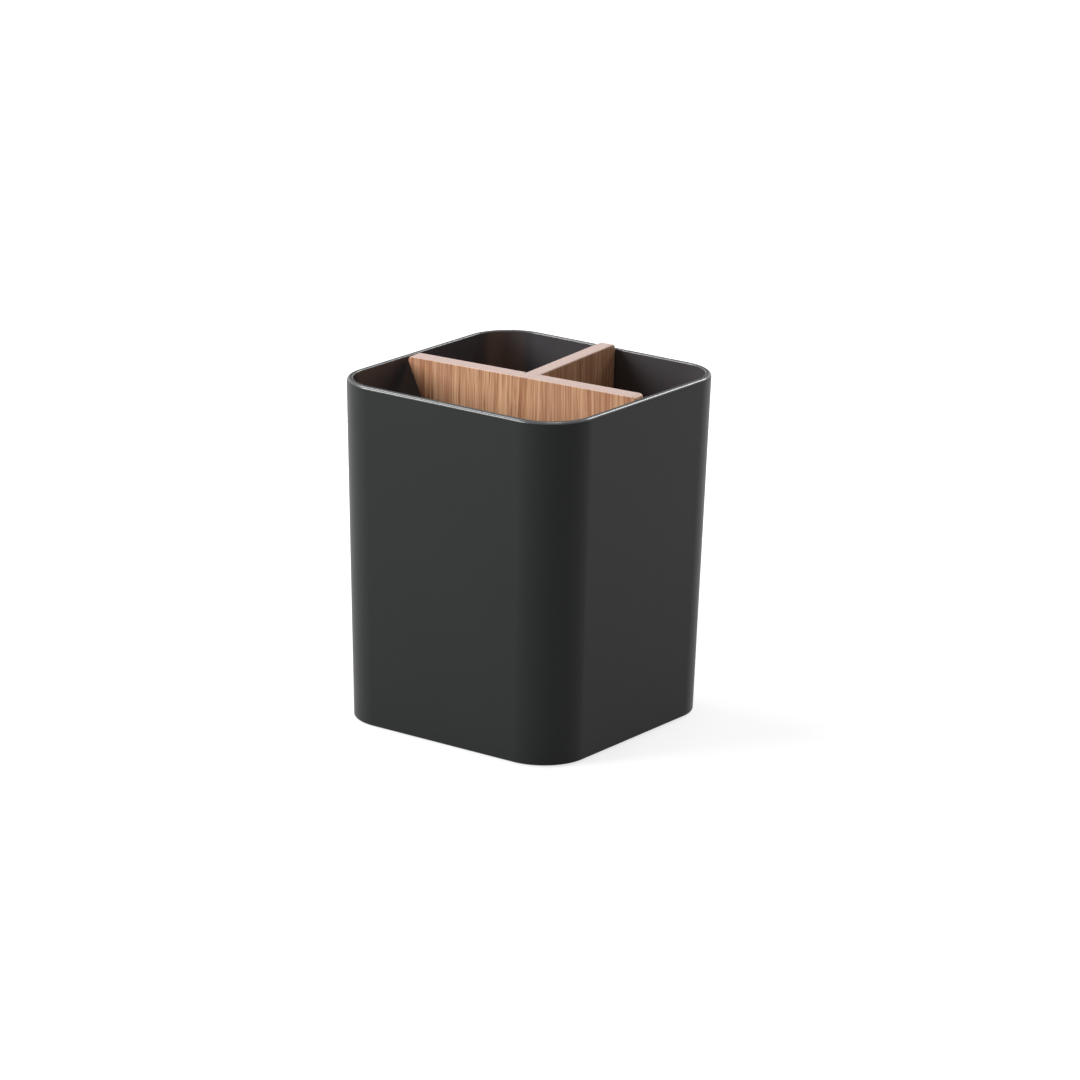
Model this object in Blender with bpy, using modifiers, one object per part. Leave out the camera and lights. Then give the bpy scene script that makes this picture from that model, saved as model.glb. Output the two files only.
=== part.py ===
"""Pen holder cup: a tapered square plastic cup with a loose T-shaped bamboo divider.

Units are metres and +Z is up. The origin is the middle of the base, on the surface that
the cup stands on, and the front wall faces -Y. The cup is one moulding on four foot pads.
The divider is two bamboo boards, one let into a groove in the other, that stand on the
cup's floor and lift straight out.
"""

import math

import bmesh
import bpy
from mathutils import Matrix, Vector
from mathutils.geometry import intersect_line_plane

# Cup, outside
HEIGHT = 0.110             # standing surface to rim
TOP_WIDTH = 0.090          # across the flats, at the rim
BASE_WIDTH = 0.085         # across the flats, at the base
CORNER_RADIUS = 0.016      # upright corners, at the rim
BASE_EDGE_RADIUS = 0.0006  # where the walls meet the underside
RIM_RADIUS = 0.0005        # both edges of the rim

# Cup, inside and underneath
WALL = 0.0020
FLOOR = 0.0025
COVE_RADIUS = 0.0030       # where the walls meet the floor, inside
RECESS_DEPTH = 0.0008      # underside, inside the ring that edges the base
RECESS_MARGIN = 0.0050     # width of that ring

# Foot pads
PAD_DIAMETER = 0.011
PAD_STAND = 0.0003         # how far the pads hold the base off the surface
PAD_TO_RING = 0.0040       # a pad's edge to the ring round the recess
PAD_EDGE = 0.0002          # softened lower edge

# Divider boards
BOARD_PROUD = 0.0008       # how far the long board stands above the rim
LONG_THICKNESS = 0.0052
SHORT_THICKNESS = 0.0050
SHORT_OFFSET = 0.0016      # short board off the long board's middle, towards +X
GROOVE_DEPTH = 0.0016      # groove in the long board that takes the short one
LONG_CORNER = 0.0015       # top corners of the long board
SHORT_CORNER = 0.0012      # top back corner of the short board
HEEL_EXTRA = 0.0012        # how much rounder the short board's heel is than the cove
SHOULDER_ANGLE = math.radians(24)  # slope under the long board's ears, from upright
SHOULDER_ROUND = 0.008     # where that slope meets the upright side
BODY_GAP = 0.0074          # long board's upright side to the wall, at floor level
ARRIS = 0.0004             # sanded edges of both boards

# Where the divider rests
DIVIDER_X = 0.0005
DIVIDER_Y = -0.0015
DIVIDER_YAW = math.radians(3.4)   # it stands a little askew in the cup
DIVIDER_TILT = math.radians(1.1)  # the short board's heel rides up the cove

# Clearances
WALL_GAP = 0.0004          # boards to the cup's walls
TOUCH_GAP = 0.0003         # between pieces that rest on or are glued to each other
CUT_PAST = 0.002           # how far a cutter runs past what it cuts

# Smoothness
CORNER_STEPS = 8           # along each upright corner
FILLET_STEPS = 5           # along each corner of a board
EDGE_STEPS = 2             # across a softened edge
COVE_STEPS = 3
PAD_SIDES = 28
SMOOTH_ANGLE = math.radians(35)

FLOOR_TOP = PAD_STAND + FLOOR
DIVIDER_HEIGHT = HEIGHT + BOARD_PROUD - FLOOR_TOP - TOUCH_GAP
RECESS_HALF = BASE_WIDTH / 2 - RECESS_MARGIN
WALL_SLOPE = (TOP_WIDTH - BASE_WIDTH) / 2 / (HEIGHT - PAD_STAND)


def outer_half(z):
    """Half the cup's outside width at height z."""
    return TOP_WIDTH / 2 - (HEIGHT - z) * WALL_SLOPE


def inner_half(z):
    """Half the width between the cup's inner walls at height z."""
    return outer_half(z) - WALL


def clear_scene():
    """Remove every object that the scene opened with."""
    for obj in list(bpy.data.objects):
        bpy.data.objects.remove(obj, do_unlink=True)


def new_collection(name):
    """A new collection in the scene."""
    collection = bpy.data.collections.new(name)
    bpy.context.scene.collection.children.link(collection)
    return collection


def new_material(name, colour, roughness):
    """A Principled material of one linear colour."""
    material = bpy.data.materials.new(name)
    material.use_nodes = True
    shader = material.node_tree.nodes["Principled BSDF"]
    shader.inputs["Base Color"].default_value = (*colour, 1.0)
    shader.inputs["Roughness"].default_value = roughness
    shader.inputs["Metallic"].default_value = 0.0
    material.diffuse_color = (*colour, 1.0)
    return material


def mesh_object(name, shape, collection, material=None):
    """An object from a bmesh, which is freed. Round parts of it shade smooth."""
    mesh = bpy.data.meshes.new(name)
    shape.to_mesh(mesh)
    shape.free()
    mesh.shade_smooth()
    mesh.set_sharp_from_angle(angle=SMOOTH_ANGLE)
    obj = bpy.data.objects.new(name, mesh)
    collection.objects.link(obj)
    if material:
        mesh.materials.append(material)
    return obj


def as_cutter(obj):
    """Keep an object out of renders and draw it as wire."""
    obj.hide_render = True
    obj.display_type = "WIRE"
    return obj


def cut(obj, cutter):
    """Cut one object's shape out of another."""
    modifier = obj.modifiers.new(f"Cut {cutter.name}", "BOOLEAN")
    modifier.operation = "DIFFERENCE"
    modifier.object = cutter


def soften(obj, width, angle=math.radians(50)):
    """Round every edge that turns by more than the angle."""
    modifier = obj.modifiers.new("Softened edges", "BEVEL")
    modifier.width = width
    modifier.segments = EDGE_STEPS
    modifier.limit_method = "ANGLE"
    modifier.angle_limit = angle


def edges_where(shape, test):
    """Edges of a bmesh whose two ends both pass the test."""
    return [edge for edge in shape.edges if all(test(vert.co) for vert in edge.verts)]


def tapered_block(low, high, half_low, half_high, corner, base_round=0.0, base_steps=1):
    """A block with round upright corners that narrows evenly towards its base.

    It runs from height low to height high. The corner radius is the one at the top, and
    it narrows with the block.
    """
    shape = bmesh.new()
    bmesh.ops.create_cube(shape, size=1.0)
    size = Matrix.Diagonal((2 * half_high, 2 * half_high, high - low, 1.0))
    shape.transform(Matrix.Translation((0, 0, (low + high) / 2)) @ size)
    upright = [
        edge for edge in shape.edges
        if (edge.verts[0].co - edge.verts[1].co).xy.length < 1e-9
    ]
    bmesh.ops.bevel(
        shape, geom=upright, offset=corner, segments=CORNER_STEPS, profile=0.5, affect="EDGES"
    )
    middle = (low + high) / 2
    for vert in shape.verts:
        if vert.co.z < middle:
            vert.co.x *= half_low / half_high
            vert.co.y *= half_low / half_high
    if base_round:
        base = edges_where(shape, lambda point: point.z < middle)
        bmesh.ops.bevel(
            shape, geom=base, offset=base_round, segments=base_steps, profile=0.5, affect="EDGES"
        )
    return shape


def build_cup(parts, cutters, plastic):
    """The moulded cup: a tapered block, hollowed from above and recessed underneath."""
    cup = mesh_object(
        "cup_body",
        tapered_block(
            PAD_STAND, HEIGHT, outer_half(PAD_STAND), outer_half(HEIGHT),
            CORNER_RADIUS, BASE_EDGE_RADIUS, EDGE_STEPS,
        ),
        parts,
        plastic,
    )
    above = HEIGHT + CUT_PAST
    hollow = tapered_block(
        FLOOR_TOP, above, inner_half(FLOOR_TOP), inner_half(above),
        CORNER_RADIUS - WALL, COVE_RADIUS, COVE_STEPS,
    )
    recess = tapered_block(
        PAD_STAND - CUT_PAST, PAD_STAND + RECESS_DEPTH, RECESS_HALF, RECESS_HALF,
        CORNER_RADIUS - RECESS_MARGIN,
    )
    for name, shape in (("cup_hollow", hollow), ("base_recess", recess)):
        cut(cup, as_cutter(mesh_object(name, shape, cutters)))
    soften(cup, RIM_RADIUS)
    return cup


def build_pads(parts, rubber):
    """Four round pads on the recessed underside, one near each corner."""
    thickness = PAD_STAND + RECESS_DEPTH - TOUCH_GAP
    place = RECESS_HALF - PAD_TO_RING - PAD_DIAMETER / 2
    for side_y, end in ((-1, "front"), (1, "back")):
        for side_x, side in ((-1, "left"), (1, "right")):
            shape = bmesh.new()
            bmesh.ops.create_cone(
                shape, cap_ends=True, segments=PAD_SIDES,
                radius1=PAD_DIAMETER / 2, radius2=PAD_DIAMETER / 2, depth=thickness,
            )
            rim = edges_where(shape, lambda point: point.z < 0)
            bmesh.ops.bevel(shape, geom=rim, offset=PAD_EDGE, segments=1, affect="EDGES")
            pad = mesh_object(f"foot_pad_{end}_{side}", shape, parts, rubber)
            pad.location = (side_x * place, side_y * place, thickness / 2)


def rounded_outline(corners):
    """Points of a closed outline, given its corners as (x, y, radius) anticlockwise.

    Each corner becomes an arc that is tangent to both of its sides.
    """
    points = []
    count = len(corners)
    for index, (x, y, radius) in enumerate(corners):
        corner = Vector((x, y))
        back = (Vector(corners[index - 1][:2]) - corner).normalized()
        ahead = (Vector(corners[(index + 1) % count][:2]) - corner).normalized()
        if not radius:
            points.append(corner)
            continue
        half_angle = back.angle(ahead) / 2
        centre = corner + (back + ahead).normalized() * (radius / math.sin(half_angle))
        tangent = radius / math.tan(half_angle)
        start = corner + back * tangent - centre
        end = corner + ahead * tangent - centre
        turn = math.atan2(start.cross(end), start.dot(end))
        for step in range(FILLET_STEPS + 1):
            points.append(centre + Matrix.Rotation(turn * step / FILLET_STEPS, 2) @ start)
    return points


def board(name, outline, thickness, upright, parts, material):
    """A flat board: an outline as a filled 2D curve, made a mesh and stood upright."""
    curve = bpy.data.curves.new(name, "CURVE")
    curve.dimensions = "2D"
    curve.fill_mode = "BOTH"
    curve.extrude = thickness / 2
    spline = curve.splines.new("POLY")
    spline.points.add(len(outline) - 1)
    for point, (x, y) in zip(spline.points, outline):
        point.co = (x, y, 0.0, 1.0)
    spline.use_cyclic_u = True
    guide = bpy.data.objects.new(name + "_outline", curve)
    parts.objects.link(guide)
    graph = bpy.context.evaluated_depsgraph_get()
    flat = bpy.data.meshes.new_from_object(guide.evaluated_get(graph))
    bpy.data.objects.remove(guide, do_unlink=True)
    shape = bmesh.new()
    shape.from_mesh(flat)
    bpy.data.meshes.remove(flat)
    bmesh.ops.remove_doubles(shape, verts=shape.verts, dist=1e-6)
    bmesh.ops.dissolve_limit(
        shape, angle_limit=math.radians(0.5), verts=shape.verts, edges=shape.edges
    )
    bmesh.ops.recalc_face_normals(shape, faces=shape.faces)
    shape.transform(upright)
    return mesh_object(name, shape, parts, material)


def divider_place():
    """Where the divider rests: the matrix of its own frame.

    That frame's origin is the middle of the long board's foot, its X runs along the long
    board and its Y runs back along the short one. The long board's front arris is the
    lowest edge, so the origin is lifted by that much for the tilt.
    """
    lift = TOUCH_GAP + LONG_THICKNESS / 2 * math.sin(DIVIDER_TILT)
    turn = Matrix.Rotation(DIVIDER_YAW, 4, "Z") @ Matrix.Rotation(DIVIDER_TILT, 4, "X")
    return Matrix.Translation((DIVIDER_X, DIVIDER_Y, FLOOR_TOP + lift)) @ turn


def reach(place, start, along, wall):
    """How far a board's line runs, in the divider's frame, before its gap to a wall.

    start is a point on the line and along its direction. wall is the way to the wall
    from the cup's middle, such as +X.
    """
    slope = Vector((0, 0, WALL_SLOPE))
    on_wall = wall * (inner_half(0.0) - WALL_GAP)
    hit = intersect_line_plane(place @ start, place @ (start + along), on_wall, wall - slope)
    return (place.inverted() @ hit - start).dot(along)


def long_outline(place):
    """The long board's outline: wide ears at the top, sloping in to an upright body."""
    x_axis = Vector((1, 0, 0))
    ear_height = DIVIDER_HEIGHT - LONG_CORNER
    ear = min(
        reach(place, Vector((0, face, ear_height)), x_axis * side, x_axis * side)
        for side in (-1, 1)
        for face in (-LONG_THICKNESS / 2, LONG_THICKNESS / 2)
    )
    # The round corner's outermost point is the ear's reach, so the sharp corner lies past it.
    angle = SHOULDER_ANGLE
    corner = ear + LONG_CORNER * (1 / math.cos(angle) + math.tan(angle) - 1)
    body = inner_half(FLOOR_TOP) - BODY_GAP
    shoulder = DIVIDER_HEIGHT - (corner - body) / math.tan(angle)
    right = [
        (body, 0.0, 0.0),
        (body, shoulder, SHOULDER_ROUND),
        (corner, DIVIDER_HEIGHT, LONG_CORNER),
    ]
    left = [(-x, height, radius) for x, height, radius in reversed(right)]
    return rounded_outline(right + left)


def short_outline(place):
    """The short board's outline: square in its groove, its back end following the wall."""
    front = LONG_THICKNESS / 2 - GROOVE_DEPTH + TOUCH_GAP
    y_axis = Vector((0, 1, 0))
    back = {
        height: min(
            reach(place, Vector((SHORT_OFFSET + face, 0, height)), y_axis, y_axis)
            for face in (-SHORT_THICKNESS / 2, SHORT_THICKNESS / 2)
        )
        for height in (0.0, DIVIDER_HEIGHT)
    }
    return rounded_outline([
        (front, 0.0, 0.0),
        (back[0.0], 0.0, COVE_RADIUS + HEEL_EXTRA),
        (back[DIVIDER_HEIGHT], DIVIDER_HEIGHT, SHORT_CORNER),
        (front, DIVIDER_HEIGHT, 0.0),
    ])


def build_divider(parts, cutters, bamboo):
    """The T-shaped divider: two boards that hang on one empty, on the line they lift along."""
    place = divider_place()
    carrier = bpy.data.objects.new("divider_lift", None)
    carrier.matrix_world = place
    parts.objects.link(carrier)

    stand = Matrix.Rotation(math.radians(90), 4, "X")
    long_board = board(
        "divider_long_board", long_outline(place), LONG_THICKNESS, stand, parts, bamboo
    )
    across = Matrix.Translation((SHORT_OFFSET, 0, 0)) @ Matrix.Rotation(math.radians(90), 4, "Z")
    short_board = board(
        "divider_short_board", short_outline(place), SHORT_THICKNESS, across @ stand, parts, bamboo
    )

    groove = bmesh.new()
    bmesh.ops.create_cube(groove, size=1.0)
    width = SHORT_THICKNESS + 2 * TOUCH_GAP
    depth = GROOVE_DEPTH + CUT_PAST
    size = Matrix.Diagonal((width, depth, DIVIDER_HEIGHT + 2 * CUT_PAST, 1.0))
    middle = (SHORT_OFFSET, LONG_THICKNESS / 2 - GROOVE_DEPTH + depth / 2, DIVIDER_HEIGHT / 2)
    groove.transform(Matrix.Translation(middle) @ size)
    cutter = as_cutter(mesh_object("board_groove", groove, cutters))
    soften(long_board, ARRIS)
    soften(short_board, ARRIS)
    cut(long_board, cutter)
    for obj in (long_board, short_board, cutter):
        obj.parent = carrier


def main():
    clear_scene()
    parts = new_collection("pen_holder_cup")
    cutters = new_collection("cutters")
    plastic = new_material("Black ABS", (0.028, 0.028, 0.028), 0.32)
    bamboo = new_material("Bamboo", (0.55, 0.34, 0.20), 0.55)
    rubber = new_material("Foot pad rubber", (0.02, 0.02, 0.02), 0.8)
    build_cup(parts, cutters, plastic)
    build_pads(parts, rubber)
    build_divider(parts, cutters, bamboo)


main()
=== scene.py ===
"""Pen holder cup, finished: a moulded black cup with a loose divider of laminated bamboo.

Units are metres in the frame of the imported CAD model. +Z is up, the cup stands on z = 0
and its front wall faces -Y. Each class below is one sub-assembly: it holds its sizes,
works out its surfaces with numpy and dresses them in one of the finishes.
"""

import logging
import math
from dataclasses import dataclass, field
from enum import Enum
from typing import Any

import bpy
import numpy as np
from mathutils import Matrix, Quaternion, Vector


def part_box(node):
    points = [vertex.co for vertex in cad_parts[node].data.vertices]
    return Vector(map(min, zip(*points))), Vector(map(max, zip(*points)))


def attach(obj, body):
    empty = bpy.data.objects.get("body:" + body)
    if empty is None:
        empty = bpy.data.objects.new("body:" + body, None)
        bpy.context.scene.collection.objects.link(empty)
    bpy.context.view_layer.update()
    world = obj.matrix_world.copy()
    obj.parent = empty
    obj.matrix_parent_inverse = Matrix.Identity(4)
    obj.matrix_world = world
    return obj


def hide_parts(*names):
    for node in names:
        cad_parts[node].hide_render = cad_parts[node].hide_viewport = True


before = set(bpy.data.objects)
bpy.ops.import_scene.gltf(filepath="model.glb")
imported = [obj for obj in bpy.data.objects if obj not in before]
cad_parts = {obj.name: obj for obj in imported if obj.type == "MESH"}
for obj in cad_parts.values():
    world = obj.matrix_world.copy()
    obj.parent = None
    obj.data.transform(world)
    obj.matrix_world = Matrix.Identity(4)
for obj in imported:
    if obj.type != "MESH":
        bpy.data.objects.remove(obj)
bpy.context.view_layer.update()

MM = 0.001
HAIR = 0.01 * MM                    # less than any step of the shapes
log = logging.getLogger("pen_holder_cup")


class Body(Enum):
    """CAD bodies that the pieces ride on."""

    CUP = "cup"
    DIVIDER = "divider"


class Slot(Enum):
    """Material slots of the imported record."""

    PLASTIC = "cup_plastic"
    BAMBOO = "bamboo"
    RUBBER = "pad_rubber"


class Corner(Enum):
    """Corners of the underside that carry a pad, as its name ends."""

    FRONT_LEFT = "front_left"
    FRONT_RIGHT = "front_right"
    BACK_LEFT = "back_left"
    BACK_RIGHT = "back_right"


# ---------------------------------------------------------------- surfaces


@dataclass
class Surface:
    """A closed shape before it becomes a mesh.

    Attributes:
        points: (n, 3) corner points.
        faces: Corner numbers of each face, anticlockwise as seen from outside.
        normals: (n, 3) exact outward normals, or None where modifiers work them out.
    """

    points: np.ndarray
    faces: list[list[int]]
    normals: np.ndarray | None = None

    def placed(self, place: Matrix) -> "Surface":
        """The same shape, moved and turned by a matrix.

        Args:
            place: The matrix, without scale.

        Returns:
            The moved shape.
        """
        matrix = np.array(place)
        turn, shift = matrix[:3, :3], matrix[:3, 3]
        normals = None if self.normals is None else self.normals @ turn.T
        return Surface(self.points @ turn.T + shift, self.faces, normals)

    def box(self) -> np.ndarray:
        """Lowest and highest corner, as a (2, 3) array."""
        return np.array([self.points.min(axis=0), self.points.max(axis=0)])

    def build(self, name: str) -> bpy.types.Object:
        """Make the object, at the origin, with its place in its mesh.

        Args:
            name: Name of the object and of its mesh.

        Returns:
            The object, linked into the scene and shaded smooth.
        """
        mesh = bpy.data.meshes.new(name)
        mesh.from_pydata(self.points.tolist(), [], self.faces)
        mesh.shade_smooth()
        if self.normals is not None:
            mesh.normals_split_custom_set_from_vertices(self.normals.tolist())
        piece = bpy.data.objects.new(name, mesh)
        bpy.context.scene.collection.objects.link(piece)
        return piece


@dataclass(frozen=True)
class Ring:
    """A closed path in plan that a profile is carried round.

    A profile point with half-width h and plan corner radius r lands, for each step of
    the ring, at (h - r) times the step's centre plus r times its outward direction.

    Attributes:
        centres: (m, 2) corner centres, as shares of h - r.
        outward: (m, 2) unit directions.
    """

    centres: np.ndarray
    outward: np.ndarray

    @classmethod
    def rounded_square(cls, corner_steps: int, side_steps: int) -> "Ring":
        """A square whose corners are quarter circles.

        Round each corner the direction turns by 90 degrees about a fixed centre. Along
        each side the direction is fixed and the centre slides to the next corner's.

        Args:
            corner_steps: Segments round each corner.
            side_steps: Segments along each side.

        Returns:
            The ring, anticlockwise from above.
        """
        quarter = np.arange(4)[:, None] * math.pi / 2
        turn = np.linspace(0.0, math.pi / 2, corner_steps + 1) + quarter
        angles = np.concatenate([turn, np.repeat(turn[:, -1:], side_steps - 1, axis=1)], axis=1)
        outward = np.stack([np.cos(angles), np.sin(angles)], axis=-1)
        middle = quarter + math.pi / 4
        here = np.sqrt(2.0) * np.stack([np.cos(middle), np.sin(middle)], axis=-1)
        slide = np.zeros(angles.shape[1])
        slide[corner_steps + 1:] = np.arange(1, side_steps) / side_steps
        centres = here + (np.roll(here, -1, axis=0) - here) * slide[None, :, None]
        return cls(centres.reshape(-1, 2), outward.reshape(-1, 2))

    @classmethod
    def round(cls, steps: int) -> "Ring":
        """A circle: the direction turns once round and the centre stays put.

        Args:
            steps: Segments all round.

        Returns:
            The ring, anticlockwise from above.
        """
        angles = np.arange(steps) * 2 * math.pi / steps
        outward = np.stack([np.cos(angles), np.sin(angles)], axis=-1)
        return cls(np.zeros_like(outward), outward)


def rounded_path(
    corners: np.ndarray, radii: np.ndarray, steps: int, closed: bool
) -> tuple[np.ndarray, np.ndarray]:
    """A path whose corners are arcs, each tangent to both of its sides.

    An arc starts radius x tan(turn / 2) before its corner. Once it has turned by an
    angle a, it has gone radius x sin(a) on and radius x (1 - cos(a)) to its side. Both
    are written as lengths along the way in and along the way out, so that columns
    after the first two, such as a corner radius in plan, change in proportion.

    Args:
        corners: (k, 2 or more) corner points, in order.
        radii: (k,) radius of each corner. An open path's two ends stay as they are.
        steps: Segments along each arc.
        closed: Whether the last corner joins the first.

    Returns:
        (points, tangents), with as many columns as corners. A tangent has unit length
        in its first two columns.
    """
    ahead = np.roll(corners, -1, axis=0) - corners
    ahead = ahead / np.linalg.norm(ahead[:, :2], axis=1, keepdims=True)
    turned = slice(None) if closed else slice(1, -1)
    way_in = np.roll(ahead, 1, axis=0)[turned, None, :]
    way_out = ahead[turned, None, :]
    cross = way_in[..., 0] * way_out[..., 1] - way_in[..., 1] * way_out[..., 0]
    turn = np.abs(np.arctan2(cross, (way_in[..., :2] * way_out[..., :2]).sum(axis=-1)))
    angle = turn * np.linspace(0.0, 1.0, steps + 1)
    radius = radii[turned, None]
    side = radius * (1 - np.cos(angle)) / np.sin(turn)
    along = radius * (np.sin(angle) - np.tan(turn / 2)) - side * np.cos(turn)
    points = corners[turned, None, :] + along[..., None] * way_in + side[..., None] * way_out
    lean = np.sin(angle) / np.sin(turn)
    tangents = (np.cos(angle) - lean * np.cos(turn))[..., None] * way_in + lean[..., None] * way_out
    width = corners.shape[1]
    points, tangents = points.reshape(-1, width), tangents.reshape(-1, width)
    if not closed:
        points = np.concatenate([corners[:1], points, corners[-1:]])
        tangents = np.concatenate([ahead[:1], tangents, ahead[-2:-1]])
    return points, tangents


def carried_round(points: np.ndarray, tangents: np.ndarray, ring: Ring) -> Surface:
    """The surface that a profile makes when it is carried round a ring.

    The profile starts and ends on the axis, where the surface closes in a pole. With
    h, z and r changing along it by h', z' and r', the normal is z' times the outward
    direction, less (h' - r') (centre . outward) + r' straight up.

    Args:
        points: (n, 3) profile points as half-width, height and plan corner radius.
        tangents: (n, 3) how each of those changes along the profile.
        ring: The path in plan.

    Returns:
        The closed surface.
    """
    half, height, radius = points[1:-1, :, None].transpose(1, 0, 2)
    flat = (half - radius)[..., None] * ring.centres + radius[..., None] * ring.outward
    rows, columns = flat.shape[:2]
    raised = np.broadcast_to(height[..., None], (rows, columns, 1))
    wall = np.concatenate([flat, raised], axis=-1).reshape(-1, 3)

    d_half, d_height, d_radius = tangents[1:-1, :, None].transpose(1, 0, 2)
    spread = (d_half - d_radius) * (ring.centres * ring.outward).sum(axis=-1) + d_radius
    normals = np.concatenate([d_height[..., None] * ring.outward, -spread[..., None]], axis=-1)
    normals /= np.linalg.norm(normals, axis=-1, keepdims=True)

    poles = np.array([[0.0, 0.0, points[0, 1]], [0.0, 0.0, points[-1, 1]]])
    ups = np.array([[0.0, 0.0, -1.0], [0.0, 0.0, 1.0]])
    ups *= np.sign([[tangents[0, 0]], [-tangents[-1, 0]]])
    number = np.arange(rows * columns).reshape(rows, columns)
    beside = np.roll(number, -1, axis=1)
    quads = np.stack([number[:-1], beside[:-1], beside[1:], number[1:]], axis=-1).reshape(-1, 4)
    first, last = rows * columns, rows * columns + 1
    start = np.stack([np.full(columns, first), beside[0], number[0]], axis=-1)
    end = np.stack([np.full(columns, last), number[-1], beside[-1]], axis=-1)
    return Surface(
        np.concatenate([wall, poles]),
        quads.tolist() + start.tolist() + end.tolist(),
        np.concatenate([normals.reshape(-1, 3), ups]),
    )


def plate(
    corners: np.ndarray, radii: np.ndarray, thickness: float, arris: float, steps: int
) -> Surface:
    """A flat board: an upright outline carried through its thickness.

    Near each face the outline draws in along its own normals by arris x (1 - sin(a)),
    at a depth of arris x (1 - cos(a)), for a from 0 to 90 degrees, which rounds the arris.

    Args:
        corners: (k, 2) outline in X and Z, anticlockwise as seen from the front.
        radii: (k,) corner radii, each larger than the arris.
        thickness: From the front face, at -Y, to the back face.
        arris: Radius of the edges round both faces.
        steps: Segments along each corner and across each arris.

    Returns:
        The closed board, its middle plane on Y = 0.
    """
    outline, tangents = rounded_path(corners, radii, 2 * steps, closed=True)
    outward = np.stack([tangents[:, 1], -tangents[:, 0]], axis=-1)
    angle = np.linspace(0.0, math.pi / 2, steps + 1)
    inset = arris * (1 - np.sin(angle))
    depth = arris * (1 - np.cos(angle)) - thickness / 2
    inset = np.concatenate([inset, inset[::-1]])
    depth = np.concatenate([depth, -depth[::-1]])
    drawn = outline - inset[:, None, None] * outward
    rows, columns = drawn.shape[:2]
    across = np.broadcast_to(depth[:, None, None], (rows, columns, 1))
    points = np.concatenate([drawn[..., :1], across, drawn[..., 1:]], axis=-1).reshape(-1, 3)
    number = np.arange(rows * columns).reshape(rows, columns)
    beside = np.roll(number, -1, axis=1)
    quads = np.stack([number[:-1], number[1:], beside[1:], beside[:-1]], axis=-1).reshape(-1, 4)
    return Surface(points, [*quads.tolist(), number[0].tolist(), number[-1, ::-1].tolist()])


def block(low: Vector, high: Vector) -> Surface:
    """A plain box between two corners, used only to cut with.

    Args:
        low: Lowest corner.
        high: Highest corner.

    Returns:
        The box.
    """
    ends = np.array([low, high])
    pick = np.stack(np.meshgrid([0, 1], [0, 1], [0, 1], indexing="ij"), axis=-1).reshape(-1, 3)
    faces = [[0, 1, 3, 2], [4, 6, 7, 5], [0, 4, 5, 1], [2, 3, 7, 6], [0, 2, 6, 4], [1, 5, 7, 3]]
    return Surface(np.take_along_axis(ends, pick, axis=0), faces)


# ---------------------------------------------------------------- finishes


def linear(code: str) -> tuple[float, float, float, float]:
    """An sRGB hex colour as the linear colour that shaders take.

    Args:
        code: Such as "#b58b6d".

    Returns:
        Red, green, blue and an alpha of 1.
    """
    shares = [int(code[start:start + 2], 16) / 255 for start in (1, 3, 5)]
    red, green, blue = (
        share / 12.92 if share <= 0.04045 else ((share + 0.055) / 1.055) ** 2.4 for share in shares
    )
    return red, green, blue, 1.0


def add_node(
    tree: bpy.types.NodeTree, kind: str, inputs: dict[str | int, Any] | None = None, **settings: Any
) -> bpy.types.Node:
    """Add a shader node, set its properties and feed its sockets.

    Args:
        tree: Node tree that gets the node.
        kind: Node type without its "ShaderNode" prefix, such as "TexNoise".
        inputs: Socket name or number, and either a constant or the output that feeds it.
        **settings: Properties of the node itself, such as operation.

    Returns:
        The new node.
    """
    node = tree.nodes.new("ShaderNode" + kind)
    for name, value in settings.items():
        setattr(node, name, value)
    for name, value in (inputs or {}).items():
        if isinstance(value, bpy.types.NodeSocket):
            tree.links.new(value, node.inputs[name])
        else:
            node.inputs[name].default_value = value
    return node


def new_material(name: str) -> tuple[bpy.types.Material, bpy.types.NodeTree, bpy.types.Node]:
    """A material with only its Principled shader and its output.

    Args:
        name: What the material is.

    Returns:
        The material, its node tree and its Principled node.
    """
    material = bpy.data.materials.new(name)
    material.use_nodes = True
    tree = material.node_tree
    return material, tree, tree.nodes["Principled BSDF"]


class MouldSide(Enum):
    """Which half of the mould left its skin on the plastic."""

    CAVITY = "cavity side"
    # the core side's material also carries a painted lighter grey that stands in for light
    CORE = "core side, painted lighter"


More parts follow.
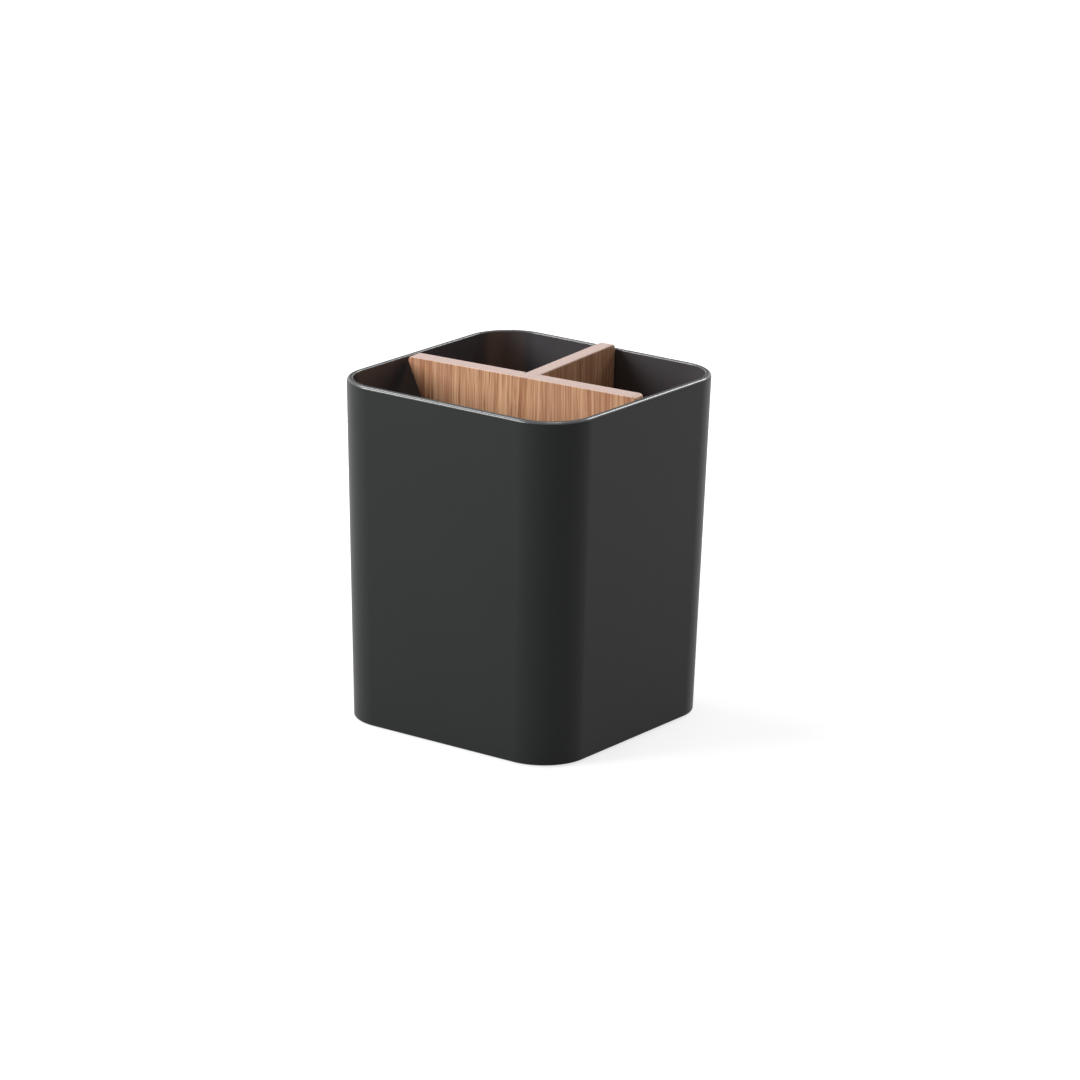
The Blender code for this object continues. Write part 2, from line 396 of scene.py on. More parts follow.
@dataclass(frozen=True)
class MouldedAbs:
    """Black ABS, injection moulded in a lightly spark-eroded cavity over a polished core.

    The cavity leaves the outside satin: it has soft reflections and no grain that the
    eye can make out. The core leaves the inside and the rim's eased edges glossier. Those
    faces and the upward ones are painted a lighter grey, painted light for the light that
    falls into the cup and onto them. Otherwise the colour is in the plastic, so it is even,
    and only the sheen wanders where the melt flowed.
    """

    name: str = "Moulded black ABS"
    colour: str = "#202321"
    colour_flow: str = "#232624"    # the same black where the melt met the wall later
    painted_light_grey: str = "#3e3d40"         # inside, on upward faces and on the rim's edges: a lighter grey, painted light
    # the same painted lighter grey, where the melt met the wall later
    painted_light_grey_flow: str = "#424144"
    ior: float = 1.54               # ABS
    satin: float = 0.40             # roughness of the eroded skin
    polished: float = 0.19          # roughness of the polished skin
    shed: float = 0.12              # specular level of eroded skin, which scatters its shine
    full: float = 0.50              # and of polished skin
    flow_size: float = 32 * MM
    flow_sheen: float = 0.05
    grain_size: float = 0.45 * MM   # real erosion pits are about 0.05 mm, too fine to show
    grain_depth: float = 0.004 * MM
    core_grain: float = 0.25        # share of that depth on the polished skin

    def material(self, side: MouldSide) -> bpy.types.Material:
        """The plastic of one side; the core side's colour is a lighter grey, painted light.

        Args:
            side: Which half of the mould shaped it.

        Returns:
            The material.
        """
        material, tree, shader = new_material(f"{self.name}, {side.value}")
        eroded = side is MouldSide.CAVITY
        place = add_node(tree, "TexCoord").outputs["Object"]
        flow = add_node(
            tree, "TexNoise", {"Vector": place, "Scale": 1 / self.flow_size, "Detail": 2.0}
        ).outputs["Fac"]
        grain = add_node(
            tree, "TexNoise", {"Vector": place, "Scale": 1 / self.grain_size, "Detail": 3.0}
        ).outputs["Fac"]
        # The core side takes the painted lighter grey, which stands in for the light inside the cup
        # and on upward faces.
        near, far = (
            (self.colour, self.colour_flow) if eroded else (self.painted_light_grey, self.painted_light_grey_flow)
        )
        colour = add_node(
            tree, "Mix", {0: flow, 6: linear(near), 7: linear(far)}, data_type="RGBA"
        )
        sheen = self.satin if eroded else self.polished
        roughness = add_node(
            tree, "Math", {0: flow, 1: self.flow_sheen, 2: sheen}, operation="MULTIPLY_ADD"
        )
        depth = self.grain_depth * (1.0 if eroded else self.core_grain)
        bump = add_node(tree, "Bump", {"Height": grain, "Distance": depth})
        tree.links.new(colour.outputs[2], shader.inputs["Base Color"])
        tree.links.new(roughness.outputs[0], shader.inputs["Roughness"])
        tree.links.new(bump.outputs[0], shader.inputs["Normal"])
        shader.inputs["IOR"].default_value = self.ior
        shader.inputs["Specular IOR Level"].default_value = self.shed if eroded else self.full
        return material


@dataclass(frozen=True)
class LaminatedBamboo:
    """Carbonised bamboo, side-pressed from narrow strips, sanded and sealed.

    The fibres stand upright on the boards' faces, as fine streaks from pale tan to
    brown, with thin dark vessel bundles among them. Each strip has a tone of its own and
    meets the next in a hairline. Sawn ends are dotted with cut bundles, and their pale,
    greyish pink is partly a painted sheen of the light from above.
    """

    name: str = "Laminated bamboo"
    pale: str = "#e0b289"
    brown: str = "#a86e4a"
    rosy: str = "#c5957a"
    bundle: str = "#8a5f42"
    # end grain colours, greyed and paled by a painted sheen of the light from above
    end_pale_painted_sheen: str = "#b39e96"
    end_brown_painted_sheen: str = "#9b857c"
    ior: float = 1.50               # clear sealer
    roughness: float = 0.40
    end_roughness: float = 0.74     # open end grain drinks the sealer and stays dull
    strip_width: float = 4.7 * MM
    joint_width: float = 0.10 * MM
    fibre_width: float = 0.42 * MM  # real fibres are about 0.1 mm, too fine to show
    fibre_length: float = 26 * MM
    streak_width: float = 1.3 * MM
    streak_length: float = 60 * MM
    bundle_width: float = 0.48 * MM
    bundle_length: float = 14 * MM
    sway: float = 0.35 * MM         # how far the fibres wander sideways
    sway_size: float = 16 * MM
    pore_size: float = 0.55 * MM    # cut bundles on the ends
    relief: float = 0.015 * MM
    weights: tuple[float, float, float] = (1.15, 0.75, 0.16)  # fibres, streaks and strips
    tones: tuple[float, float] = (0.78, 1.24)           # their sum, from pale to brown
    blush: float = 0.45             # how far the rosiest strip goes to rosy
    bundle_noise: tuple[float, float] = (0.60, 0.72)    # where a bundle starts, and is full
    bundle_share: float = 0.75
    joint_share: float = 0.45       # how dark the joints are on the faces
    end_joint_share: float = 0.50   # and on the ends
    pore_reach: tuple[float, float] = (0.10, 0.42)      # from a pore's middle to its edge
    end_start: tuple[float, float] = (0.1, 0.9)         # share of the arris where ends start
    duller: tuple[float, float] = (-0.05, 0.06)         # roughness, from one fibre to another
    joint_relief: float = 0.60      # depth of a joint, as a share of the relief

    def material(self, name: str, place: Matrix, height: float, arris: float) -> bpy.types.Material:
        """The bamboo of one board, its pattern laid out in the board's own frame.

        Args:
            name: Which board, for the material's name.
            place: The board's frame: X along the board, Y through it, Z up its fibres.
            height: The board's height.
            arris: Radius of the board's edges, where its end grain starts.

        Returns:
            The material.
        """
        material, tree, shader = new_material(f"{self.name}, {name}")

        def math_node(operation: str, *values: Any) -> bpy.types.NodeSocket:
            """One sum on the values, as its output socket."""
            return add_node(tree, "Math", dict(enumerate(values)), operation=operation).outputs[0]

        def ranged(value: Any, low: float, high: float, to_low: float, to_high: float) -> Any:
            """A value taken smoothly from one range to another, as an output socket."""
            ends = {"Value": value, "From Min": low, "From Max": high}
            ends |= {"To Min": to_low, "To Max": to_high}
            return add_node(tree, "MapRange", ends, interpolation_type="SMOOTHSTEP").outputs[0]

        def mixed(share: Any, first: Any, second: Any) -> bpy.types.NodeSocket:
            """Two colours mixed by a share, as an output socket."""
            return add_node(
                tree, "Mix", {0: share, 6: first, 7: second}, data_type="RGBA"
            ).outputs[2]

        def drawn_out(vector: Any, width: float, length: float, detail: float) -> Any:
            """Noise of that width across the fibres and that length along them."""
            scale = (1 / width, 1 / width, 1 / length)
            stretched = add_node(tree, "Mapping", {"Vector": vector, "Scale": scale})
            return add_node(
                tree, "TexNoise",
                {"Vector": stretched.outputs[0], "Scale": 1.0, "Detail": detail},
            ).outputs["Fac"]

        board = add_node(
            tree, "Mapping",
            {
                "Vector": add_node(tree, "TexCoord").outputs["Object"],
                "Location": place.translation, "Rotation": place.to_euler(),
            },
            vector_type="TEXTURE",
        ).outputs[0]
        apart = add_node(tree, "SeparateXYZ", {0: board})
        along, through, up = (apart.outputs[axis] for axis in "XYZ")

        wander = drawn_out(board, self.sway_size / 2, self.sway_size, 1.0)
        aside = ranged(wander, 0.2, 0.8, -self.sway, self.sway)
        shift = add_node(tree, "CombineXYZ", {"X": aside}).outputs[0]
        grain = add_node(tree, "VectorMath", {0: board, 1: shift}, operation="ADD").outputs[0]
        fibres = drawn_out(grain, self.fibre_width, self.fibre_length, 3.0)
        streaks = drawn_out(grain, self.streak_width, self.streak_length, 1.0)
        bundles = drawn_out(grain, self.bundle_width, self.bundle_length, 1.0)

        counted = math_node("DIVIDE", along, self.strip_width)
        strip = add_node(
            tree, "TexWhiteNoise", {"W": math_node("FLOOR", counted)}, noise_dimensions="1D"
        )
        beside = math_node("PINGPONG", counted, 0.5)
        joint = ranged(beside, 0.0, self.joint_width / self.strip_width, 1.0, 0.0)

        of_fibres, of_streaks, of_strips = self.weights
        tone = math_node(
            "MULTIPLY_ADD", fibres, of_fibres, math_node("MULTIPLY", streaks, of_streaks)
        )
        tone = math_node("MULTIPLY_ADD", strip.outputs["Value"], of_strips, tone)
        tone = ranged(tone, *self.tones, 1.0, 0.0)
        face = mixed(tone, linear(self.brown), linear(self.pale))
        blush = math_node("MULTIPLY", strip.outputs["Color"], self.blush)
        face = mixed(blush, face, linear(self.rosy))
        bundled = ranged(bundles, *self.bundle_noise, 0.0, self.bundle_share)
        face = mixed(bundled, face, linear(self.bundle))
        joined = math_node("MULTIPLY", joint, self.joint_share)
        face = mixed(joined, face, linear(self.bundle))

        pores = add_node(
            tree, "TexVoronoi",
            {"Vector": add_node(tree, "CombineXYZ", {"X": along, "Y": through}).outputs[0],
             "Scale": 1 / self.pore_size},
        ).outputs["Distance"]
        pored = ranged(pores, *self.pore_reach, 1.0, 0.0)
        # The sawn ends: cut bundles, in colours that carry a painted sheen.
        end = mixed(pored, linear(self.end_pale_painted_sheen), linear(self.end_brown_painted_sheen))
        joined = math_node("MULTIPLY", joint, self.end_joint_share)
        end = mixed(joined, end, linear(self.end_brown_painted_sheen))
        # Near both ends the sawn end grain, with its painted sheen, takes over from the faces.
        from_end = math_node("MINIMUM", up, math_node("SUBTRACT", height, up))
        sawn = ranged(from_end, *(share * arris for share in self.end_start), 1.0, 0.0)
        colour = mixed(sawn, face, end)

        roughness = ranged(fibres, 0.3, 0.7, *(self.roughness + more for more in self.duller))
        roughness = math_node(
            "MAXIMUM", roughness, math_node("MULTIPLY", sawn, self.end_roughness)
        )
        raised = math_node("SUBTRACT", fibres, math_node("MULTIPLY", joint, self.joint_relief))
        bump = add_node(tree, "Bump", {"Height": raised, "Distance": self.relief})
        tree.links.new(colour, shader.inputs["Base Color"])
        tree.links.new(roughness, shader.inputs["Roughness"])
        tree.links.new(bump.outputs[0], shader.inputs["Normal"])
        shader.inputs["IOR"].default_value = self.ior
        return material


@dataclass(frozen=True)
class PadRubber:
    """Black thermoplastic rubber, moulded matt.

    It gives almost no reflection, and its skin is faintly pebbled.
    """

    name: str = "Thermoplastic rubber"
    colour: str = "#1d1d1e"
    worn: str = "#29292a"           # high spots, where the pad rubs on the desk
    ior: float = 1.52               # styrenic rubber
    roughness: float = 0.78
    shed: float = 0.25              # specular level of a skin that scatters its shine
    pebble: float = 0.35 * MM
    pebble_depth: float = 0.02 * MM

    def material(self) -> bpy.types.Material:
        """The rubber."""
        material, tree, shader = new_material(self.name)
        place = add_node(tree, "TexCoord").outputs["Object"]
        pebbles = add_node(
            tree, "TexNoise", {"Vector": place, "Scale": 1 / self.pebble, "Detail": 2.0}
        ).outputs["Fac"]
        colour = add_node(
            tree, "Mix", {0: pebbles, 6: linear(self.colour), 7: linear(self.worn)},
            data_type="RGBA",
        )
        bump = add_node(tree, "Bump", {"Height": pebbles, "Distance": self.pebble_depth})
        tree.links.new(colour.outputs[2], shader.inputs["Base Color"])
        tree.links.new(bump.outputs[0], shader.inputs["Normal"])
        shader.inputs["Roughness"].default_value = self.roughness
        shader.inputs["IOR"].default_value = self.ior
        shader.inputs["Specular IOR Level"].default_value = self.shed
        return material


# ---------------------------------------------------------------- the cup


@dataclass
class Cup:
    """The one-piece moulded cup: tapered walls, flat rim, coved floor, recessed underside."""

    low: Vector = field(default_factory=lambda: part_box("cup_body")[0])
    high: Vector = field(default_factory=lambda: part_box("cup_body")[1])
    base_half: float = 42.5 * MM
    corner: float = 16 * MM         # upright corners, at the rim
    wall: float = 2.0 * MM
    floor: float = 2.5 * MM
    rim_outer: float = 1.0 * MM     # the rim's outer arris, eased for the hand
    rim_inner: float = 0.4 * MM
    base_round: float = 0.6 * MM
    cove: float = 3.0 * MM
    recess_half: float = 37.5 * MM
    recess_corner: float = 11.0 * MM
    recess_depth: float = 0.8 * MM
    recess_round: float = 0.25 * MM # every edge of the recess and of its dimple
    gate_half: float = 4.0 * MM     # dimple where the mould was filled
    gate_corner: float = 3.8 * MM
    gate_lean: float = 0.4 * MM     # how far its side leans out
    gate_depth: float = 0.35 * MM
    painted_light_rise: float = 0.3          # how much a face looks up to take the core skin and its painted lighter grey
    corner_steps: int = 28
    side_steps: int = 12
    fillet_steps: int = 8

    def profile(self) -> tuple[np.ndarray, np.ndarray]:
        """The wall's section, from the middle of the underside to the middle of the floor.

        Returns:
            Its points and tangents, as half-width, height and plan corner radius.
        """
        top, base = self.high.z, self.low.z
        half = self.high.x
        slope = (half - self.base_half) / (top - base)
        shrink = self.corner / half
        floor = base + self.floor
        inner = half - self.wall - slope * (top - floor)
        ceiling = base + self.recess_depth
        dimple = ceiling + self.gate_depth
        corners = np.array([
            (0.0, dimple, 0.0),
            (self.gate_half, dimple, self.gate_corner),
            (self.gate_half + self.gate_lean, ceiling, self.gate_corner + self.gate_lean),
            (self.recess_half, ceiling, self.recess_corner),
            (self.recess_half, base, self.recess_corner),
            (self.base_half, base, self.base_half * shrink),
            (half, top, self.corner),
            (half - self.wall, top, self.corner - self.wall),
            (inner, floor, (self.corner - self.wall) * inner / (half - self.wall)),
            (0.0, floor, 0.0),
        ])
        radii = np.array([
            0.0, *[self.recess_round] * 4, self.base_round,
            self.rim_outer, self.rim_inner, self.cove, 0.0,
        ])
        return rounded_path(corners, radii, self.fillet_steps, closed=False)

    def build(self, plastic: MouldedAbs) -> bpy.types.Object:
        """Carry the profile round a rounded square and dress the cup.

        Args:
            plastic: The cup's finish.

        Returns:
            The cup.
        """
        points, tangents = self.profile()
        ring = Ring.rounded_square(self.corner_steps, self.side_steps)
        piece = carried_round(points, tangents, ring).build("cup_shell")
        for side in MouldSide:
            piece.data.materials.append(plastic.material(side))
        centres = np.empty(len(piece.data.polygons) * 3, np.float32)
        normals = np.empty_like(centres)
        piece.data.polygons.foreach_get("center", centres)
        piece.data.polygons.foreach_get("normal", normals)
        centres, normals = centres.reshape(-1, 3), normals.reshape(-1, 3)
        # Faces that look up, or in towards the middle above the floor, get the core's glossier skin
        # and the painted lighter grey, which stands in for the light falling into the cup and on
        # upward faces. The rim's flat land is the parting face, and stays as dull as the outside.
        inward = (centres[:, :2] * normals[:, :2]).sum(axis=1) < 0
        above = centres[:, 2] > self.low.z + self.floor
        core = (normals[:, 2] > self.painted_light_rise) | (inward & above)
        core &= centres[:, 2] < self.high.z - HAIR
        piece.data.polygons.foreach_set("material_index", core.astype(np.int32))
        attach(piece, Body.CUP.value)
        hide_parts("cup_body")
        return piece


@dataclass
class FootPads:
    """Four stuck-on pads on the underside, each with fine grip grooves."""

    reach_up: float = 1.09 * MM     # adhesive film up to the recess
    film_half: float = 5.2 * MM
    edge_round: float = 0.2 * MM
    groove_width: float = 0.5 * MM
    groove_depth: float = 0.14 * MM
    groove_pitch: float = 1.5 * MM
    groove_round: float = 0.03 * MM
    grooves: int = 3
    fillet_steps: int = 3
    steps: int = 64

    def surface(self, half: float, top: float) -> Surface:
        """One pad about the origin, its grooved face down.

        Args:
            half: The pad's radius.
            top: Height of the pad's top, where its adhesive film starts.

        Returns:
            The pad, as a circle-swept profile.
        """
        rings = self.groove_pitch * (np.arange(self.grooves) + 1)
        # A groove's floor is two fifths as wide as its mouth.
        across = np.array([-0.5, -0.2, 0.2, 0.5]) * self.groove_width
        cut = np.array([0.0, 1.0, 1.0, 0.0]) * self.groove_depth
        groove = np.stack([
            (rings[:, None] + across).ravel(), np.tile(cut, self.grooves)
        ], axis=-1)
        outline = np.concatenate([
            [[0.0, 0.0]], groove,
            [[half, 0.0], [half, top], [self.film_half, top + HAIR],
             [self.film_half, self.reach_up], [0.0, self.reach_up]],
        ])
        corners = np.concatenate([outline, outline[:, :1]], axis=1)
        radii = np.full(len(corners), self.groove_round)
        radii[len(groove) + 1] = self.edge_round
        points, tangents = rounded_path(corners, radii, self.fillet_steps, closed=False)
        return carried_round(points, tangents, Ring.round(self.steps))

    def build(self, rubber: PadRubber) -> list[bpy.types.Object]:
        """Make the four pads where the CAD has them.

        Args:
            rubber: The pads' finish.

        Returns:
            The pads.
        """
        material = rubber.material()
        pads = []
        for corner in Corner:
            node = f"foot_pad_{corner.value}"
            low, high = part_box(node)
            middle = (low + high) / 2
            pad = self.surface((high.x - low.x) / 2, high.z)
            pad = pad.placed(Matrix.Translation((middle.x, middle.y, 0.0)))
            piece = pad.build(f"{node}_rubber")
            piece.data.materials.append(material)
            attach(piece, Body.CUP.value)
            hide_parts(node)
            pads.append(piece)
        return pads


# ---------------------------------------------------------------- the divider


@dataclass
class Divider:
    """The loose T of two bamboo boards, the short one let into the long one's back.

    Both boards are drawn in the divider's own frame: X runs along the long board, Y back
    along the short one, and Z up from the long board's foot. That frame is turned to how
    the divider rests in the cup, and moved to where the CAD's boards are.
    """

    height: float = 107.7 * MM
    long_thickness: float = 5.2 * MM
    short_thickness: float = 5.0 * MM
    short_offset: float = 1.6 * MM  # short board off the long one's middle
    body_half: float = 33.16 * MM   # long board, below its ears
    ear_half: float = 42.69 * MM    # long board, to its sharp top corners
    shoulder: float = 86.28 * MM    # where the slope under the ears starts
    ear_round: float = 1.5 * MM
    shoulder_round: float = 8.0 * MM
    foot_round: float = 0.6 * MM
    heel_reach: float = 41.52 * MM  # short board's back end at its foot
    top_reach: float = 46.05 * MM   # and at its top
    heel_round: float = 4.2 * MM
    top_round: float = 1.2 * MM
    arris: float = 0.4 * MM
    groove_depth: float = 1.6 * MM
    glue_line: float = 0.05 * MM
    yaw: float = math.radians(3.4)
    tilt: float = math.radians(1.1)
    crease: float = math.radians(40)  # edges that turn by more than this stay sharp
    steps: int = 5

    def long_surface(self) -> Surface:
        """The long board's outline, carried through its thickness."""
        right = np.array([
            (self.body_half, 0.0), (self.body_half, self.shoulder), (self.ear_half, self.height)
        ])
        radii = np.array([self.foot_round, self.shoulder_round, self.ear_round])
        corners = np.concatenate([right, right[::-1] * (-1, 1)])
        return plate(
            corners, np.concatenate([radii, radii[::-1]]), self.long_thickness, self.arris,
            self.steps,
        )

    def short_surface(self) -> Surface:
        """The short board's outline, its X running back from the groove's floor."""
        front = self.long_thickness / 2 - self.groove_depth + self.glue_line
        corners = np.array([
            (front, 0.0), (self.heel_reach, 0.0), (self.top_reach, self.height),
            (front, self.height),
        ])
        radii = np.array([self.foot_round, self.heel_round, self.top_round, self.foot_round])
        return plate(corners, radii, self.short_thickness, self.arris, self.steps)

    def groove(self) -> Surface:
        """What is cut out of the long board's back for the short one."""
        half = self.short_thickness / 2 + self.glue_line
        back = self.long_thickness / 2
        past = 2 * MM
        return block(
            Vector((self.short_offset - half, back - self.groove_depth, -past)),
            Vector((self.short_offset + half, back + past, self.height + past)),
        )

    def frames(self) -> tuple[Matrix, Matrix]:
        """Where the boards' own frames rest.

        The boards are turned about the origin first. The middle of the box round both
        is then moved to the middle of the box round the CAD's two boards.

        Returns:
            The long board's frame and the short board's.
        """
        turned = Matrix.Rotation(self.yaw, 4, "Z") @ Matrix.Rotation(self.tilt, 4, "X")
        quarter = Matrix.Rotation(math.pi / 2, 4, "Z")
        beside = Matrix.Translation((self.short_offset, 0.0, 0.0)) @ quarter
        built = np.array([
            self.long_surface().placed(turned).box(),
            self.short_surface().placed(turned @ beside).box(),
        ])
        packed = np.array([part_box("divider_long_board"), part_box("divider_short_board")])
        middles = [
            (boxes[:, 0].min(axis=0) + boxes[:, 1].max(axis=0)) / 2 for boxes in (built, packed)
        ]
        long_frame = Matrix.Translation(middles[1] - middles[0]) @ turned
        return long_frame, long_frame @ beside

    def board(self, surface: Surface, place: Matrix, node: str, bamboo: bpy.types.Material,
              cutter: Surface | None = None) -> bpy.types.Object:
        """Make one board and dress it.

        Args:
            surface: The board in its own frame.
            place: That frame.
            node: The CAD node that the board stands for.
            bamboo: Its material.
            cutter: What to cut out of it, in the same frame.

        Returns:
            The board.
        """
        piece = surface.placed(place).build(f"{node}_bamboo")
        if cutter is not None:
            knife = cutter.placed(place).build("knife")
            cut = piece.modifiers.new("Groove", "BOOLEAN")
            cut.operation = "DIFFERENCE"
            cut.solver = "EXACT"
            cut.object = knife
            graph = bpy.context.evaluated_depsgraph_get()
            piece.data = bpy.data.meshes.new_from_object(piece.evaluated_get(graph))
            piece.modifiers.clear()
            bpy.data.objects.remove(knife, do_unlink=True)
            piece.data.shade_smooth()
        piece.data.materials.clear()
        piece.data.materials.append(bamboo)
        piece.data.set_sharp_from_angle(angle=self.crease)
        crisp = piece.modifiers.new("Flat faces stay flat", "WEIGHTED_NORMAL")
        crisp.keep_sharp = True
        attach(piece, Body.DIVIDER.value)
        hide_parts(node)
        return piece

    def build(self, bamboo: LaminatedBamboo) -> list[bpy.types.Object]:
        """Make both boards.

        Args:
            bamboo: The boards' finish.

        Returns:
            The long board and the short one.
        """
        long_frame, short_frame = self.frames()
        return [
            self.board(
                self.long_surface(), long_frame, "divider_long_board",
                bamboo.material("long board", long_frame, self.height, self.arris),
                self.groove(),
            ),
            self.board(
                self.short_surface(), short_frame, "divider_short_board",
                bamboo.material("short board", short_frame, self.height, self.arris),
            ),
        ]


# ---------------------------------------------------------------- the studio


@dataclass(frozen=True)
class Softbox:
    """A square soft lamp that faces the cup.

    Attributes:
        name: Which lamp it is.
        azimuth: Where it stands, in degrees from the front towards the right.
        elevation: Degrees above the floor.
        distance: From the cup's middle.
        size: Length of its sides.
        level: How bright it makes a white card that faces it, where 1 is white.
    """

    name: str
    azimuth: float
    elevation: float
    distance: float
    size: float
    level: float

    def build(self, target: Vector) -> bpy.types.Object:
        """Make the lamp.

        A white card at distance d shows power / (pi x d) squared, so its power is the
        level times (pi x d) squared.

        Args:
            target: What it faces.

        Returns:
            The lamp.
        """
        away = direction(self.azimuth, self.elevation)
        lamp = bpy.data.lights.new(self.name, "AREA")
        lamp.shape = "SQUARE"
        lamp.size = self.size
        lamp.energy = self.level * (math.pi * self.distance) ** 2
        holder = bpy.data.objects.new(self.name, lamp)
        holder.location = target + away * self.distance
        holder.rotation_euler = away.to_track_quat("Z", "Y").to_euler()
        holder.visible_camera = False
        bpy.context.scene.collection.objects.link(holder)
        return holder


def direction(azimuth: float, elevation: float) -> Vector:
    """The way from the cup to a point round it.

    Args:
        azimuth: Degrees from the front, -Y, towards the right, +X.
        elevation: Degrees above the floor.

    Returns:
        A vector of unit length.
    """
    turn, rise = math.radians(azimuth), math.radians(elevation)
    return Vector((
        math.sin(turn) * math.cos(rise), -math.cos(turn) * math.cos(rise), math.sin(rise)
    ))


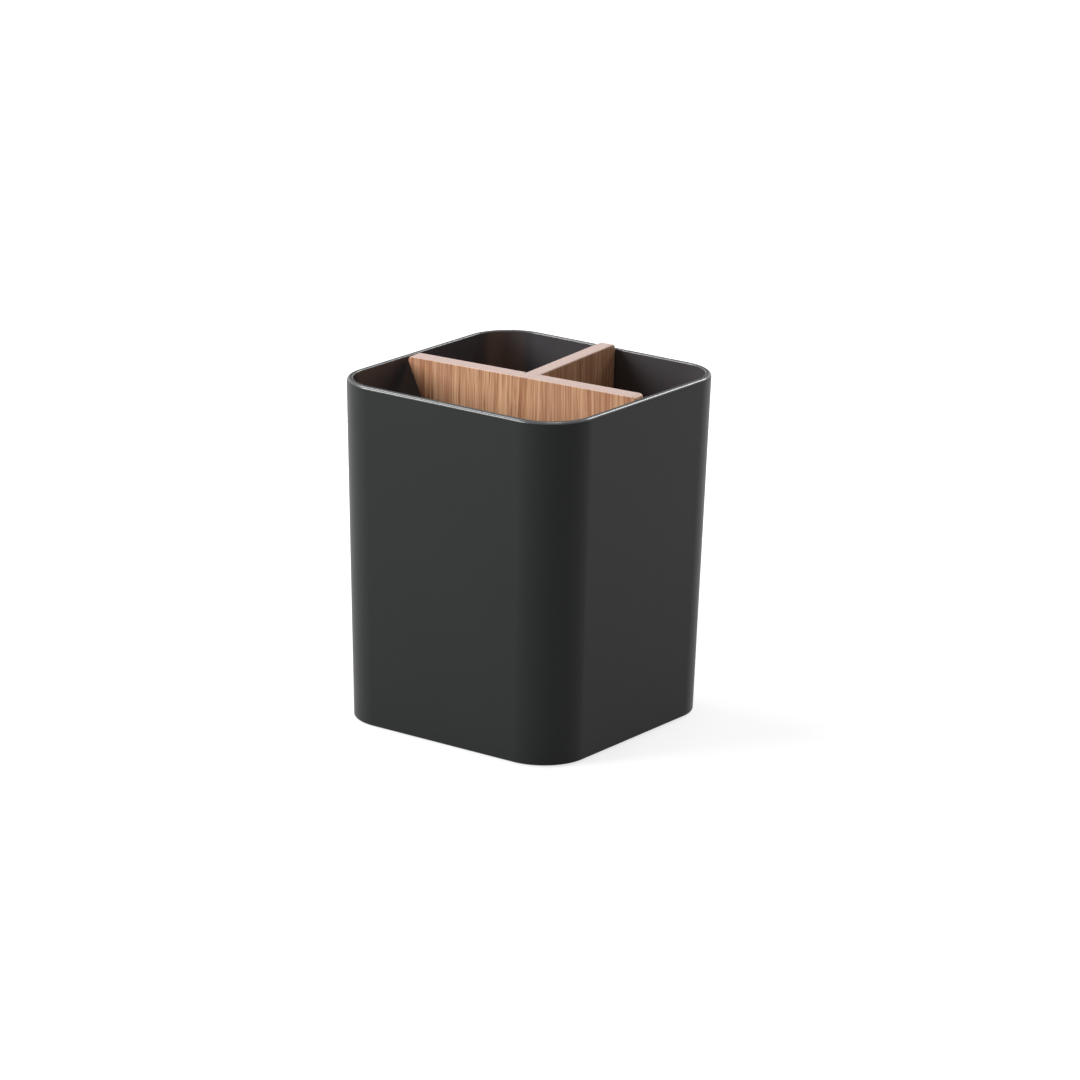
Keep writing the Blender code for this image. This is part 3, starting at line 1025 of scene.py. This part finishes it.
@dataclass
class Studio:
    """Pale paper floor, soft lamps and a long lens on the cup's front right corner."""

    azimuth: float = 36.37
    elevation: float = 16.62
    roll: float = 1.02
    distance: float = 1.6354
    lens: float = 174.35            # in mm
    sensor: float = 36.0            # width in mm
    depth: tuple[float, float] = (0.1, 20.0)    # nearest and furthest that it sees
    aim_right: float = 4.1 * MM     # where the lens points, off the cup's middle
    aim_up: float = 1.4 * MM
    floor_half: float = 4.0
    paper: str = "#a8a8a8"
    paper_fibre: str = "#a2a2a2"
    paper_grain: float = 0.8 * MM
    paper_roughness: float = 0.95
    near_lift: float = 0.72         # how far the floor is lifted to white by the cup
    lift_reach: tuple[float, float] = (0.12, 0.38)  # where that starts to grow, and is full
    ambient: float = 0.23           # light from the room all round
    lamps: tuple[Softbox, ...] = (
        Softbox("Key softbox", -40, 25, 1.3, 0.7, 1.20),
        Softbox("Top softbox", 170, 82, 1.2, 0.3, 0.22),
        Softbox("Left softbox", -88, 50, 1.2, 0.35, 0.36),
        Softbox("Back softbox", 174, 37, 1.3, 0.42, 0.37),
    )

    def middle(self) -> Vector:
        """The cup's middle, at half its height."""
        return Vector((0.0, 0.0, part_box("cup_body")[1].z / 2))

    def seen(self, tree: bpy.types.NodeTree) -> bpy.types.NodeSocket:
        """1 for rays from the camera and for reflected and transmitted ones, and 0 for light.

        Args:
            tree: Node tree to add it to.

        Returns:
            The output socket.
        """
        path = add_node(tree, "LightPath").outputs
        either = add_node(
            tree, "Math", {0: path["Is Camera Ray"], 1: path["Is Glossy Ray"]},
            operation="MAXIMUM",
        )
        return add_node(
            tree, "Math", {0: either.outputs[0], 1: path["Is Transmission Ray"]},
            operation="MAXIMUM",
        ).outputs[0]

    def room(self) -> None:
        """White all round as seen, with an even, weaker light of its own."""
        world = bpy.data.worlds.new("White room")
        world.use_nodes = True
        world.cycles.sampling_method = "NONE"
        tree = world.node_tree
        strength = add_node(
            tree, "MapRange", {"Value": self.seen(tree), "To Min": self.ambient, "To Max": 1.0}
        )
        background = tree.nodes["Background"]
        background.inputs["Color"].default_value = linear("#ffffff")
        tree.links.new(strength.outputs[0], background.inputs["Strength"])
        bpy.context.scene.world = world

    def paper_material(self) -> bpy.types.Material:
        """Matt paper that takes the cup's shadow and can't be seen from below.

        It is lifted to white as seen, partly by the cup and fully further out. That lift
        gives no light.

        Returns:
            The material.
        """
        material, tree, shader = new_material("Matt studio paper")
        material.cycles.emission_sampling = "NONE"
        place = add_node(tree, "TexCoord").outputs["Object"]
        fibres = add_node(
            tree, "TexNoise", {"Vector": place, "Scale": 1 / self.paper_grain, "Detail": 2.0}
        )
        colour = add_node(
            tree, "Mix",
            {0: fibres.outputs["Fac"], 6: linear(self.paper), 7: linear(self.paper_fibre)},
            data_type="RGBA",
        )
        tree.links.new(colour.outputs[2], shader.inputs["Base Color"])
        shader.inputs["Roughness"].default_value = self.paper_roughness
        shader.inputs["Specular IOR Level"].default_value = 0.0
        away = add_node(tree, "VectorMath", {0: place}, operation="LENGTH")
        lift = add_node(
            tree, "MapRange",
            {"Value": away.outputs["Value"], "From Min": self.lift_reach[0],
             "From Max": self.lift_reach[1], "To Min": self.near_lift, "To Max": 1.0},
            interpolation_type="SMOOTHSTEP",
        )
        strength = add_node(
            tree, "Math", {0: lift.outputs[0], 1: self.seen(tree)}, operation="MULTIPLY"
        )
        glow = add_node(tree, "Emission", {"Strength": strength.outputs[0]})
        lit = add_node(tree, "AddShader", {0: shader.outputs[0], 1: glow.outputs[0]})
        below = add_node(tree, "NewGeometry").outputs["Backfacing"]
        clear = add_node(tree, "BsdfTransparent")
        either = add_node(
            tree, "MixShader", {0: below, 1: lit.outputs[0], 2: clear.outputs[0]}
        )
        tree.links.new(either.outputs[0], tree.nodes["Material Output"].inputs["Surface"])
        return material

    def floor(self) -> bpy.types.Object:
        """The paper: one flat sheet, its middle under the cup."""
        side = self.floor_half
        corners = np.array([(-side, -side, 0), (side, -side, 0), (side, side, 0), (-side, side, 0)])
        sheet = Surface(corners, [[0, 1, 2, 3]]).build("studio_floor")
        sheet.data.materials.append(self.paper_material())
        return sheet

    def camera(self) -> bpy.types.Object:
        """The camera: it looks from its azimuth and elevation, and is rolled a little."""
        back = direction(self.azimuth, self.elevation)
        level = back.to_track_quat("Z", "Y")
        turn = level @ Quaternion((0.0, 0.0, 1.0), math.radians(self.roll))
        aim = self.middle() + turn @ Vector((self.aim_right, self.aim_up, 0.0))
        place = self.middle() + back * self.distance
        rest = (place - aim).to_track_quat("Z", "Y")
        data = bpy.data.cameras.new("Camera")
        data.lens = self.lens
        data.sensor_width = self.sensor
        data.clip_start, data.clip_end = self.depth
        camera = bpy.data.objects.new("Camera", data)
        camera.location = place
        camera.rotation_mode = "QUATERNION"
        camera.rotation_quaternion = rest @ Quaternion((0.0, 0.0, 1.0), math.radians(self.roll))
        bpy.context.scene.collection.objects.link(camera)
        bpy.context.scene.camera = camera
        return camera

    def build(self) -> None:
        """Set up the floor, the light and the camera."""
        self.room()
        self.floor()
        for lamp in self.lamps:
            lamp.build(self.middle())
        self.camera()
        bpy.context.scene.view_settings.view_transform = "Standard"


# ---------------------------------------------------------------- the whole


def report(pieces: list[bpy.types.Object]) -> None:
    """Log the name, box and face count of each piece.

    Args:
        pieces: The finished pieces.
    """
    for piece in pieces:
        points = np.empty(len(piece.data.vertices) * 3, np.float32)
        piece.data.vertices.foreach_get("co", points)
        low, high = (
            " ".join(f"{value:.1f}" for value in corner / MM)
            for corner in (points.reshape(-1, 3).min(axis=0), points.reshape(-1, 3).max(axis=0))
        )
        log.info("%s: %d faces, from %s to %s mm", piece.name, len(piece.data.polygons), low, high)


def main() -> None:
    """Build the cup, its pads and its divider, and then the studio round them."""
    logging.basicConfig(level=logging.INFO, format="%(name)s: %(message)s")
    report([Cup().build(MouldedAbs())])
    report(FootPads().build(PadRubber()))
    report(Divider().build(LaminatedBamboo()))
    Studio().build()


if __name__ == "__main__":
    main()
